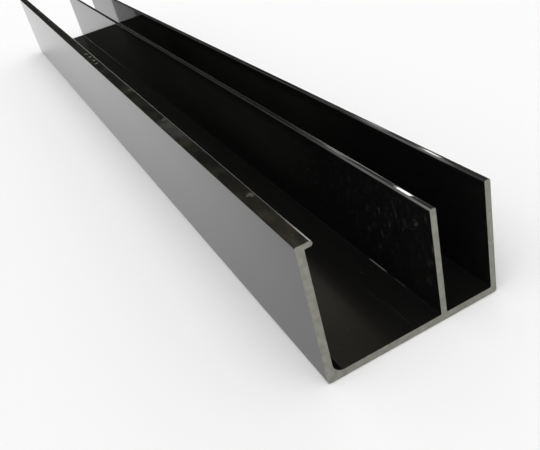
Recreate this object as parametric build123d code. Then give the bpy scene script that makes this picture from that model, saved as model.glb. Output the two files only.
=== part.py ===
from build123d import *

import os

# Aluminium extrusion profile: an E-shaped section with two unequal channels.
# The section lies in the XZ plane and runs along Y. The base rests on Z = 0 and
# the origin is at the middle of the resting face. The left leg (-X) carries a lip
# that turns in over the wide channel.

# Stock
length = 500.0  # cut length along Y

# Section
base_width = 60.0
base_thickness = 2.4
left_leg_thickness = 2.5  # carries the lip
leg_thickness = 2.0  # divider and right leg alike
narrow_channel_width = 16.5  # takes a 16 mm board with clearance
left_leg_height = 47.0  # from the resting face
divider_height = 39.0
right_leg_height = 39.5
lip_thickness = 1.6
lip_reach = 2.5  # past the inner face of the left leg

# Edge radii
gusset_radius = 3.5  # inner corner of the left leg and the base
root_radius = 0.4  # every other inner corner
foot_radius = 1.0  # outer corners of the base
leg_top_radius = 0.6  # both edges of the divider and the right leg
lip_shoulder_radius = 0.4  # outer corner of the left leg and its lip

# Stations across the section
left_face = -base_width / 2
right_face = base_width / 2
left_inner_face = left_face + left_leg_thickness
right_inner_face = right_face - leg_thickness
divider_right_face = right_inner_face - narrow_channel_width
divider_left_face = divider_right_face - leg_thickness
lip_nose_radius = lip_thickness / 2
lip_nose_centre = left_inner_face + lip_reach - lip_nose_radius
lip_underside = left_leg_height - lip_thickness


def upright(face, thickness, height):
    """A leg of the section that stands on the resting face, its left side at `face`."""
    return Pos(face, 0) * Rectangle(thickness, height, align=(Align.MIN, Align.MIN))


def rounded(section, x, z, radius):
    """The section with the corner nearest to (x, z) rounded."""
    corner = section.vertices().sort_by_distance((x, z, 0))[0]
    return fillet(corner, radius)


base = Rectangle(base_width, base_thickness, align=(Align.CENTER, Align.MIN))
lip = Pos(left_face, lip_underside) * Rectangle(
    lip_nose_centre - left_face, lip_thickness, align=(Align.MIN, Align.MIN)
)
lip_nose = Pos(lip_nose_centre, lip_underside + lip_nose_radius) * Circle(lip_nose_radius)

section = (
    base
    + upright(left_face, left_leg_thickness, left_leg_height)
    + upright(divider_left_face, leg_thickness, divider_height)
    + upright(right_inner_face, leg_thickness, right_leg_height)
    + lip
    + lip_nose
)

corners = [
    (left_inner_face, base_thickness, gusset_radius),
    (divider_left_face, base_thickness, root_radius),
    (divider_right_face, base_thickness, root_radius),
    (right_inner_face, base_thickness, root_radius),
    (left_inner_face, lip_underside, root_radius),
    (left_face, 0, foot_radius),
    (right_face, 0, foot_radius),
    (left_face, left_leg_height, lip_shoulder_radius),
    (divider_left_face, divider_height, leg_top_radius),
    (divider_right_face, divider_height, leg_top_radius),
    (right_inner_face, right_leg_height, leg_top_radius),
    (right_face, right_leg_height, leg_top_radius),
]
for x, z, radius in corners:
    section = rounded(section, x, z, radius)

# The sketch's X and Y become the section's X and Z
profile = extrude(Plane.XZ * section, length / 2, both=True)

os.makedirs("parts", exist_ok=True)
export_step(profile, "parts/profile.step")
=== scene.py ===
import math

import bmesh
import bpy
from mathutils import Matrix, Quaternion, Vector


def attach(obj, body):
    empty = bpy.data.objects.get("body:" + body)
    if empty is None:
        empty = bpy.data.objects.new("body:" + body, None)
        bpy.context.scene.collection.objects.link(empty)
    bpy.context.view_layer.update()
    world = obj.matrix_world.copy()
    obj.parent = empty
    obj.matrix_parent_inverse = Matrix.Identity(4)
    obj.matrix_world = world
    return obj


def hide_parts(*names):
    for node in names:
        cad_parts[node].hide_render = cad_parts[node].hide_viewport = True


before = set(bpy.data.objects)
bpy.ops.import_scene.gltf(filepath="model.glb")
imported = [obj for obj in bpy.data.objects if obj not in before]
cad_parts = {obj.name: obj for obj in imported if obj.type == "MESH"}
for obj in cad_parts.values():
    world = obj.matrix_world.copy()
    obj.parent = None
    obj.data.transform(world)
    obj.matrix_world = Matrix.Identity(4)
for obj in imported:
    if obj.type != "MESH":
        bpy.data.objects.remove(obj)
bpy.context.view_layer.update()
MM = 0.001

# The section's sizes, in millimetres
LENGTH = 500.0
BASE_WIDTH = 60.0
BASE_THICKNESS = 2.4
LEFT_LEG = 2.5  # carries the lip
LEG = 2.0  # divider and right leg alike
NARROW_CHANNEL = 16.5
LEFT_HEIGHT = 47.0
DIVIDER_HEIGHT = 39.0
RIGHT_HEIGHT = 39.5
LIP_THICKNESS = 1.6
LIP_REACH = 2.5  # past the inner face of the left leg
GUSSET_RADIUS = 3.5
ROOT_RADIUS = 0.4
FOOT_RADIUS = 1.0
TOP_RADIUS = 0.6
SHOULDER_RADIUS = 0.4
NOSE_ROUNDING = 0.999  # of half the lip's thickness, so that the two arcs of its nose share no point
BURR = 0.07  # the bare edge that the saw leaves round a cut

# The mesh
ARC_STEPS = 8  # straight pieces in each rounded corner
FLAT_FACE_WEIGHT = 100  # the flat faces set the shading of the rounded edges beside them
COATED, BARE = 0, 1  # the skin's materials

# Painted highlights: how strongly an edge is painted pale where highlight lines and glints run along it,
# from 0 to 1, at distances from a cut in millimetres
NOSE_PAINTED_HIGHLIGHT = [(0, 1.0), (5, 1.0), (12, 0.5), (18, 0.05), (30, 0.08), (60, 0.02)]
DIVIDER_LEFT_PAINTED_HIGHLIGHT = [(0, 0.42), (12, 0.45), (30, 0.28), (60, 0.16), (75, 0.05)]
DIVIDER_RIGHT_PAINTED_HIGHLIGHT = [(0, 0.15), (18, 0.2), (28, 0.95), (60, 0.95), (75, 0.06)]
DIVIDER_FOOT_PAINTED_GLINTS = [(16, 0), (18, 0.06), (22, 0.06), (24, 0), (27, 0), (29, 0.3), (36, 0.3), (38, 0)]
RIGHT_INNER_PAINTED_HIGHLIGHT = [(0, 0.1), (12, 0.1), (20, 0.35), (50, 0.3), (75, 0.08)]
RIGHT_OUTER_PAINTED_HIGHLIGHT = [(0, 0.1), (30, 0.1), (60, 0.05)]
NO_PAINTED_HIGHLIGHT = [(0, 0)]

# Colours of the coating and of what lies on it, with a painted sheen and the pale grey of painted
# highlights among them
COATING_IOR = 1.45
BLACK = (0.0055, 0.0055, 0.0053)
FILMED = (0.022, 0.021, 0.014)
# Painted sheen: the faint lighter grey of a reflection painted into the channel walls
PAINTED_SHEEN = (0.018, 0.0185, 0.016)
DULLED = (0.08, 0.08, 0.077)
CHIPPED = (0.14, 0.135, 0.10)
# Painted highlights: the pale grey that edges are painted where highlight lines and glints run along them
PAINTED_HIGHLIGHT_GREY = (0.55, 0.55, 0.53)

# Noise: cells to the metre along X, Y and Z, detail, and turn in degrees where there is one
PATCH_NOISE = ((14, 14, 14), 2)
SCRATCH_NOISE = ((2600, 22, 2600), 1, (14, 0, 9))
FILM_NOISE = ((170, 75, 0), 3)
# The noise that breaks up the painted highlights along the edges
HIGHLIGHT_NOISE = ((300, 45, 300), 2)
SMEAR_NOISE = ((22, 22, 22), 4)
DIE_NOISE = ((700, 1.2, 700), 3)
SAW_NOISE = ((2400, 300, 90), 3, (0, 8, 0))
BLOTCH_NOISE = ((420, 420, 420), 4)

# Spots: cells to the metre along X, Y and Z, turn in degrees, radius in parts of a cell, share of the cells
UNTURNED = (0, 0, 0)
SCUFF_SPOTS = ((1, 260, 120), (-20, 90, 0), 0.20, 0.9)
FLECK_SPOTS = ((1, 420, 600), (10, 90, 0), 0.24, 0.65)
CHIP_SPOTS = ((230, 110, 0), UNTURNED, 0.22, 0.7)
DUST_SPOTS = ((330, 330, 330), UNTURNED, 0.08, 0.25)
SPOT_CORE = 0.3  # the part of a spot's radius that is at full strength
RAGGED_SIZE, RAGGED_AMOUNT, RAGGED_DETAIL = 0.0015, 0.003, 2  # the uneven outlines of spots, in metres

# Ramps: a value from the first number to the second becomes one from the third to the fourth, and stays
# there beyond. Of the places, in metres, X and Y count from the middle of the bar and Z from the floor.
INSIDE_X = (0.0274, 0.0290, 1, 0)
WALL_FOOT_Z = (0.005, 0.013, 0, 1)
WALL_TOP_Z = (0.034, 0.038, 1, 0)
WIDE_CHANNEL_X = (0.0100, 0.0110, 1, 0.35)
SCUFFED_Y = (0.195, 0.225, 0, 0.65)
FLECKED_Y = (0.12, 0.19, 0.2, 0.6)
LIP_TOP_Z = (0.0466, 0.0468, 0, 1)
# The painted sheen fades out towards the ends and down towards the foot of the walls
SHEEN_AWAY_FROM_ENDS = (0.15, 0.19, 1, 0)
SHEEN_UP_THE_WALLS = (0.008, 0.024, 0, 1)
PATCH_STRENGTH = (0.38, 0.62, 0.35, 0.9)
SCRATCH_STRENGTH = (0.70, 0.76, 0, 0.12)
FILM_STRENGTH = (0.45, 0.70, 0, 1)
# How strongly the painted highlights along the edges show through their noise
HIGHLIGHT_STRENGTH = (0.35, 0.60, 0.5, 1)
SMEAR_ROUGHNESS = (0.35, 0.70, 0.03, 0.08)
CHANNEL_FLOOR_ROUGHNESS = (0.0027, 0.0032, 0.22, 0)  # by Z
SPOT_ROUGHNESS = (0, 1, 0, 0.5)
DIE_BUMP = (0.05, 0.0002)  # strength and depth

# The saw cuts
SAW_METALLIC = 0.7
SAW_DARK = (0.13, 0.126, 0.105)
SAW_LIGHT = (0.31, 0.305, 0.272)
SAW_TONE = (0.3, 0.7, 0.8, 1.0)
BLOTCH_TONE = (0.3, 0.7, 0.45, 1.0)
SAW_ROUGHNESS = (0.3, 0.7, 0.50, 0.36)
SAW_BUMP = (0.25, 0.0001)

# The floor, in metres
FLOOR_COLOUR = (0.92, 0.92, 0.92)
FLOOR_ROUGHNESS = 0.9
FLOOR_SIZE = 60
FLOOR_DROP = 0.0002  # below the part, so that the two faces don't coincide

# The surround: what the camera sees of it, and the even light that it gives to surfaces without gloss
WHITE = (0.98, 0.98, 0.98)
AMBIENT = (0.5, 0.5, 0.5)
# What gloss shows of it: height above the horizon in degrees, and the colour there
LOW_SKY = [(0, WHITE), (3, WHITE), (6, (0.035, 0.036, 0.032)), (26, (0.035, 0.036, 0.030))]
SKY = LOW_SKY + [(35, (0.30, 0.26, 0.185)), (90, (0.32, 0.275, 0.19))]
DIM_SKY = LOW_SKY + [(90, (0.05, 0.052, 0.044))]
# Where the sky dims to the left and to the right: ramps by the part of the way out to the side
DIM_LEFT = (-0.02, 0.08, 1, 0)
DIM_RIGHT = (0.275, 0.37, 0, 1)

# The lamps
KEY_ENERGY = 1.82
KEY_WIDTH = 70  # degrees
KEY_DIRECTION = Vector((0.2, 0.3, -0.93))
# Panels round the bar: name, azimuth from +Y to +X, height above the horizon, width and height of the panel
# and its turn, all in degrees, and brightness
PANELS = [
    ("strip", 34.5, 30.2, 5.6, 1.5, 45, 15.0),
    ("far_strip", 29.0, 25.6, 6.5, 2.2, 20, 1.4),
    ("side_panel", 36.0, 29.0, 24.0, 16.0, 0, 0.22),
    ("floor_panel", 22.3, 37.4, 8.4, 4.0, -10, 0.55),
    ("low_panel", 11.5, 21.0, 9.0, 1.8, 0, 0.16),
]
PANEL_DISTANCE = 1.5
PANEL_STEP = 0.1  # each panel stands further out than the last, so that none cuts through another
PANEL_AIM = Vector((-0.005, -0.23, 0.03))

# The camera: millimetres for the lens and its sensor, metres and degrees for the rest
SENSOR_WIDTH = 36.0
LENS = 44.07
CLIP_START = 0.005
CAMERA_LOCATION = (-0.0759, -0.3735, 0.1362)
CAMERA_TURN = (57.5, 12.9, -26.7)


def in_radians(angles):
    return [math.radians(angle) for angle in angles]


def put(name, data):
    """A new object of the scene."""
    thing = bpy.data.objects.new(name, data)
    bpy.context.scene.collection.objects.link(thing)
    return thing


def section_corners():
    """(x, z, radius, painted highlight table) of each corner, anticlockwise."""
    left, right = -BASE_WIDTH / 2, BASE_WIDTH / 2
    left_in, right_in = left + LEFT_LEG, right - LEG
    divider_right = right_in - NARROW_CHANNEL
    divider_left = divider_right - LEG
    nose = left_in + LIP_REACH
    under = LEFT_HEIGHT - LIP_THICKNESS
    nose_radius = LIP_THICKNESS / 2 * NOSE_ROUNDING
    return [
        (left, 0, FOOT_RADIUS, NO_PAINTED_HIGHLIGHT),
        (right, 0, FOOT_RADIUS, NO_PAINTED_HIGHLIGHT),
        (right, RIGHT_HEIGHT, TOP_RADIUS, RIGHT_OUTER_PAINTED_HIGHLIGHT),
        (right_in, RIGHT_HEIGHT, TOP_RADIUS, RIGHT_INNER_PAINTED_HIGHLIGHT),
        (right_in, BASE_THICKNESS, ROOT_RADIUS, NO_PAINTED_HIGHLIGHT),
        (divider_right, BASE_THICKNESS, ROOT_RADIUS, NO_PAINTED_HIGHLIGHT),
        (divider_right, DIVIDER_HEIGHT, TOP_RADIUS, DIVIDER_RIGHT_PAINTED_HIGHLIGHT),
        (divider_left, DIVIDER_HEIGHT, TOP_RADIUS, DIVIDER_LEFT_PAINTED_HIGHLIGHT),
        (divider_left, BASE_THICKNESS, ROOT_RADIUS, DIVIDER_FOOT_PAINTED_GLINTS),
        (left_in, BASE_THICKNESS, GUSSET_RADIUS, NO_PAINTED_HIGHLIGHT),
        (left_in, under, ROOT_RADIUS, NO_PAINTED_HIGHLIGHT),
        (nose, under, nose_radius, NO_PAINTED_HIGHLIGHT),
        (nose, LEFT_HEIGHT, nose_radius, NOSE_PAINTED_HIGHLIGHT),
        (left, LEFT_HEIGHT, SHOULDER_RADIUS, NO_PAINTED_HIGHLIGHT),
    ]


def painted_highlight_at(highlight_table, distance):
    """How strongly an edge is painted with a highlight at a distance from the cut, between the distances
    that its list gives.
    """
    for (near, first), (far, second) in zip(highlight_table, highlight_table[1:]):
        if near <= distance <= far:
            return first + (second - first) * (distance - near) / (far - near)
    return highlight_table[0][1] if distance < highlight_table[0][0] else highlight_table[-1][1]


def rounded_outline(corners):
    """The outline's points, each square corner replaced by an arc, and the (share, painted highlight table)
    of each.
    """
    points, marked = [], []
    for i, (x, z, radius, highlight_table) in enumerate(corners):
        here = Vector((x, z))
        back = (Vector(corners[i - 1][:2]) - here).normalized()
        on = (Vector(corners[(i + 1) % len(corners)][:2]) - here).normalized()
        centre = here + (back + on) * radius
        for step in range(ARC_STEPS + 1):
            turn = math.radians(90) * step / ARC_STEPS
            points.append(centre - on * radius * math.cos(turn) - back * radius * math.sin(turn))
            marked.append((math.sin(2 * turn), highlight_table))
    return points, marked


def inset(points, distance):
    """The outline moved in by a small distance, square to the line between each point's neighbours."""
    moved = []
    for i, point in enumerate(points):
        along = (points[(i + 1) % len(points)] - points[i - 1]).normalized()
        moved.append(point + Vector((-along.y, along.x)) * distance)
    return moved


def build_profile(coating, cut):
    """The extruded skin, with a narrow bare burr round each saw cut."""
    outline, marked = rounded_outline(section_corners())
    stations = sorted({distance for share, highlight_table in marked for distance, amount in highlight_table if distance > 0})
    end_rings = [(0, inset(outline, BURR)), (BURR, outline)]
    end_rings += [(distance, outline) for distance in stations]
    half = LENGTH / 2
    rings = [(distance - half, distance, ring) for distance, ring in end_rings]
    rings += [(half - distance, distance, ring) for distance, ring in end_rings[::-1]]

    mesh = bmesh.new()
    # Painted highlights: how pale each point of the edges is painted where highlight lines and glints run
    # along them
    edge_highlight = mesh.verts.layers.float.new("edge_highlight")
    loops = []
    for y, distance, ring in rings:
        loops.append([mesh.verts.new((p.x, y, p.y)) for p in ring])
        for vertex, (share, highlight_table) in zip(loops[-1], marked):
            vertex[edge_highlight] = share * painted_highlight_at(highlight_table, distance)
    count = len(outline)
    for near, far in zip(loops, loops[1:]):
        coated = near is not loops[0] and far is not loops[-1]
        for i in range(count):
            j = (i + 1) % count
            face = mesh.faces.new((near[i], near[j], far[j], far[i]))
            face.material_index = COATED if coated else BARE
            face.smooth = coated
    ends = [mesh.faces.new(list(reversed(loops[0]))), mesh.faces.new(loops[-1])]
    for face in ends:
        face.material_index = BARE
    bmesh.ops.recalc_face_normals(mesh, faces=mesh.faces)
    bmesh.ops.triangulate(mesh, faces=ends)
    bmesh.ops.scale(mesh, vec=(MM, MM, MM), verts=mesh.verts)

    data = bpy.data.meshes.new("profile_skin")
    mesh.to_mesh(data)
    mesh.free()
    data.materials.append(coating)
    data.materials.append(cut)
    skin = put("profile_skin", data)
    weighted = skin.modifiers.new("flat_faces", "WEIGHTED_NORMAL")
    weighted.keep_sharp = True
    weighted.weight = FLAT_FACE_WEIGHT
    return skin


class Tree:
    """The shader nodes of a material or of the world, with a short call for each kind that is used here."""

    def __init__(self, owner):
        owner.use_nodes = True
        self.nodes = owner.node_tree.nodes
        self.links = owner.node_tree.links

    def add(self, kind, **values):
        """A new node with the given input values."""
        node = self.nodes.new("ShaderNode" + kind)
        for name, value in values.items():
            node.inputs[name.replace("_", " ")].default_value = value
        return node

    def position(self):
        """Coordinates on the object, in metres."""
        return self.add("TexCoord").outputs["Object"]

    def split(self, vector):
        """The parts X, Y and Z of a vector."""
        node = self.add("SeparateXYZ")
        self.links.new(vector, node.inputs["Vector"])
        return node.outputs

    def stretched(self, scale, turn, place):
        """Coordinates scaled and then turned, so that a texture can run along the bar."""
        mapping = self.add("Mapping", Scale=scale, Rotation=in_radians(turn))
        self.links.new(place, mapping.inputs["Vector"])
        return mapping.outputs["Vector"]

    def ragged(self):
        """Coordinates moved about at random over short distances, so that spots get uneven outlines."""
        texture = self.add("TexNoise", Scale=1 / RAGGED_SIZE, Detail=RAGGED_DETAIL)
        self.links.new(self.position(), texture.inputs["Vector"])
        move = self.add("VectorMath")
        move.operation = "MULTIPLY_ADD"
        move.inputs[1].default_value = (RAGGED_AMOUNT, RAGGED_AMOUNT, RAGGED_AMOUNT)
        self.links.new(texture.outputs["Color"], move.inputs[0])
        self.links.new(self.position(), move.inputs[2])
        return move.outputs["Vector"]

    def noise(self, scale, detail, turn=UNTURNED):
        texture = self.add("TexNoise", Scale=1, Detail=detail)
        self.links.new(self.stretched(scale, turn, self.position()), texture.inputs["Vector"])
        return texture.outputs["Fac"]

    def ramp(self, value, ends):
        low, high, to_low, to_high = ends
        node = self.add("MapRange", From_Min=low, From_Max=high, To_Min=to_low, To_Max=to_high)
        self.links.new(value, node.inputs["Value"])
        return node.outputs["Result"]

    def without_sign(self, value):
        node = self.add("Math")
        node.operation = "ABSOLUTE"
        self.links.new(value, node.inputs[0])
        return node.outputs["Value"]

    def combine(self, operation, first, *others):
        """One value after another taken into the first, and kept from 0 to 1."""
        for other in others:
            node = self.add("Math")
            node.operation = operation
            node.use_clamp = True
            self.links.new(first, node.inputs[0])
            self.links.new(other, node.inputs[1])
            first = node.outputs["Value"]
        return first

    def product(self, *values):
        return self.combine("MULTIPLY", *values)

    def largest(self, *values):
        return self.combine("MAXIMUM", *values)

    def specks(self, spots, place, dimensions):
        """Small separate spots, soft and of uneven strength, on a share of the cells of a pattern."""
        scale, turn, radius, share = spots
        cells = self.add("TexVoronoi", Scale=1)
        cells.voronoi_dimensions = dimensions
        self.links.new(self.stretched(scale, turn, place), cells.inputs["Vector"])
        spot = self.ramp(cells.outputs["Distance"], (radius * SPOT_CORE, radius, 1, 0))
        lot = self.add("SeparateColor")
        self.links.new(cells.outputs["Color"], lot.inputs["Color"])
        strength = self.ramp(lot.outputs["Red"], (0, share, 1, 0))
        return self.product(strength, strength, spot)

    def blend(self, factor, first, second):
        """A colour between two, by a factor from 0 to 1. The first may come from another node."""
        node = self.add("Mix")
        node.data_type = "RGBA"
        if isinstance(first, tuple):
            node.inputs["A"].default_value = (*first, 1)
        else:
            self.links.new(first, node.inputs["A"])
        node.inputs["B"].default_value = (*second, 1)
        self.links.new(factor, node.inputs["Factor"])
        return node.outputs["Result"]

    def bump(self, height, strength, depth):
        node = self.add("Bump", Strength=strength, Distance=depth)
        self.links.new(height, node.inputs["Height"])
        return node.outputs["Normal"]

    def light(self, colour):
        """An even light of one colour."""
        return self.add("Background", Color=(*colour, 1)).outputs["Background"]

    def sky(self, height, bands):
        """Light that changes with the height above the horizon."""
        ramp = self.add("ValToRGB")
        elements = ramp.color_ramp.elements
        while len(elements) < len(bands):
            elements.new(0.5)  # anywhere: its place is set below
        for element, (degrees, colour) in zip(elements, bands):
            element.position = math.sin(math.radians(degrees))
            element.color = (*colour, 1)
        self.links.new(height, ramp.inputs["Fac"])
        background = self.add("Background")
        self.links.new(ramp.outputs["Color"], background.inputs["Color"])
        return background.outputs["Background"]

    def mixed_light(self, factor, first, second):
        node = self.add("MixShader")
        for source, socket in zip((factor, first, second), node.inputs):
            self.links.new(source, socket)
        return node.outputs["Shader"]


def new_material(name):
    material = bpy.data.materials.new(name)
    tree = Tree(material)
    return material, tree, tree.nodes["Principled BSDF"]


def gloss_black():
    """Gloss black with the traces of handling, a painted sheen on the walls and painted highlights along
    the edges.
    """
    material, tree, shader = new_material("gloss_black_coating")
    shader.inputs["IOR"].default_value = COATING_IOR
    place, uneven_place = tree.position(), tree.ragged()
    where = tree.split(place)
    along = tree.without_sign(where["Y"])
    inside = tree.ramp(tree.without_sign(where["X"]), INSIDE_X)
    patch = tree.ramp(tree.noise(*PATCH_NOISE), PATCH_STRENGTH)

    # Short scuffs and flecks in patches on the walls of the channels, and a little dust
    walls = tree.product(tree.ramp(where["Z"], WALL_FOOT_Z), tree.ramp(where["Z"], WALL_TOP_Z), inside)
    busy = tree.product(walls, tree.ramp(where["X"], WIDE_CHANNEL_X))
    scuffs = tree.product(tree.specks(SCUFF_SPOTS, uneven_place, "2D"), tree.ramp(along, SCUFFED_Y))
    flecks = tree.product(tree.specks(FLECK_SPOTS, uneven_place, "2D"), tree.ramp(along, FLECKED_Y))
    marks = tree.product(tree.largest(scuffs, flecks), patch, busy)
    dust = tree.specks(DUST_SPOTS, place, "3D")

    # Fine scratches
    scratches = tree.product(tree.ramp(tree.noise(*SCRATCH_NOISE), SCRATCH_STRENGTH), patch)
    marked = tree.largest(dust, marks, scratches)

    # Chips and a film along the top of the lip
    on_lip = tree.ramp(where["Z"], LIP_TOP_Z)
    chip = tree.product(tree.specks(CHIP_SPOTS, uneven_place, "2D"), on_lip)
    film = tree.product(tree.ramp(tree.noise(*FILM_NOISE), FILM_STRENGTH), on_lip)

    # A faint painted sheen on the upper walls of the channels, away from the ends: a reflection painted
    # into the colour
    sheen = tree.product(tree.ramp(along, SHEEN_AWAY_FROM_ENDS), tree.ramp(where["Z"], SHEEN_UP_THE_WALLS), walls, patch)

    # Painted highlights: edges painted pale where highlight lines and glints run along them
    edge_highlight = tree.add("Attribute")
    edge_highlight.attribute_name = "edge_highlight"
    edge = tree.product(edge_highlight.outputs["Fac"], tree.ramp(tree.noise(*HIGHLIGHT_NOISE), HIGHLIGHT_STRENGTH))

    # The painted sheen and the painted highlights are blended into the colour here, with the real film,
    # marks and chips
    colour = BLACK
    for amount, over in ((film, FILMED), (sheen, PAINTED_SHEEN), (marked, DULLED), (chip, CHIPPED), (edge, PAINTED_HIGHLIGHT_GREY)):
        colour = tree.blend(amount, colour, over)
    tree.links.new(colour, shader.inputs["Base Color"])

    # The floors of the channels are less glossy than the rest
    smear = tree.ramp(tree.noise(*SMEAR_NOISE), SMEAR_ROUGHNESS)
    spots = tree.ramp(tree.largest(marked, chip, edge), SPOT_ROUGHNESS)
    channel_floor = tree.product(tree.ramp(where["Z"], CHANNEL_FLOOR_ROUGHNESS), inside)
    tree.links.new(tree.largest(smear, spots, channel_floor), shader.inputs["Roughness"])
    tree.links.new(tree.bump(tree.noise(*DIE_NOISE), *DIE_BUMP), shader.inputs["Normal"])
    return material


def saw_cut():
    """Bare metal with the strokes of the saw."""
    material, tree, shader = new_material("bare_saw_cut")
    shader.inputs["Metallic"].default_value = SAW_METALLIC
    strokes = tree.noise(*SAW_NOISE)
    tone = tree.product(tree.ramp(strokes, SAW_TONE), tree.ramp(tree.noise(*BLOTCH_NOISE), BLOTCH_TONE))
    tree.links.new(tree.blend(tone, SAW_DARK, SAW_LIGHT), shader.inputs["Base Color"])
    tree.links.new(tree.ramp(strokes, SAW_ROUGHNESS), shader.inputs["Roughness"])
    tree.links.new(tree.bump(strokes, *SAW_BUMP), shader.inputs["Normal"])
    return material


def floor():
    material, tree, shader = new_material("pale_floor")
    shader.inputs["Base Color"].default_value = (*FLOOR_COLOUR, 1)
    shader.inputs["Roughness"].default_value = FLOOR_ROUGHNESS
    shader.inputs["Specular IOR Level"].default_value = 0.0
    bpy.ops.mesh.primitive_plane_add(size=FLOOR_SIZE, location=(0, 0, -FLOOR_DROP))
    plane = bpy.context.object
    plane.name = "floor"
    plane.data.materials.append(material)


def studio_world():
    """White behind the bar.

    Gloss shows it pale near the floor and dim above, and other surfaces get an even light.
    """
    world = bpy.data.worlds.new("studio")
    bpy.context.scene.world = world
    tree = Tree(world)
    tree.nodes.clear()
    where = tree.split(tree.add("TexCoord").outputs["Generated"])
    sides = tree.largest(tree.ramp(where["X"], DIM_LEFT), tree.ramp(where["X"], DIM_RIGHT))
    mirrored = tree.mixed_light(sides, tree.sky(where["Z"], SKY), tree.sky(where["Z"], DIM_SKY))
    rays = tree.add("LightPath").outputs
    seen = tree.mixed_light(rays["Is Camera Ray"], mirrored, tree.light(WHITE))
    seen_rays = tree.largest(rays["Is Camera Ray"], rays["Is Glossy Ray"], rays["Is Transmission Ray"])
    shown = tree.mixed_light(seen_rays, tree.light(AMBIENT), seen)
    tree.links.new(shown, tree.add("OutputWorld").inputs["Surface"])


def lamps():
    """A wide soft key lamp, and panels for the highlights along the edges."""
    key = bpy.data.lights.new("key", "SUN")
    key.energy = KEY_ENERGY
    key.angle = math.radians(KEY_WIDTH)
    put("key", key).rotation_euler = KEY_DIRECTION.to_track_quat("-Z", "Y").to_euler()

    for i, (name, azimuth, height, width, tall, turn, brightness) in enumerate(PANELS):
        az, el = math.radians(azimuth), math.radians(height)
        towards = Vector((math.sin(az) * math.cos(el), math.cos(az) * math.cos(el), math.sin(el)))
        distance = PANEL_DISTANCE + PANEL_STEP * i
        light = bpy.data.lights.new(name, "AREA")
        light.shape = "RECTANGLE"
        light.size = 2 * distance * math.tan(math.radians(width / 2))
        light.size_y = 2 * distance * math.tan(math.radians(tall / 2))
        light.energy = brightness * math.pi * light.size * light.size_y
        lamp = put(name, light)
        lamp.location = PANEL_AIM + towards * distance
        facing = (-towards).to_track_quat("-Z", "Y")
        lamp.rotation_euler = (facing @ Quaternion((0, 0, 1), math.radians(turn))).to_euler()
        lamp.visible_camera = False


def camera():
    data = bpy.data.cameras.new("camera")
    data.sensor_width = SENSOR_WIDTH
    data.lens = LENS
    data.clip_start = CLIP_START
    eye = put("camera", data)
    eye.location = CAMERA_LOCATION
    eye.rotation_euler = in_radians(CAMERA_TURN)
    bpy.context.scene.camera = eye


skin = build_profile(gloss_black(), saw_cut())
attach(skin, "root")
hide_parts("profile")
floor()
studio_world()
lamps()
camera()
bpy.context.scene.view_settings.view_transform = "Standard"
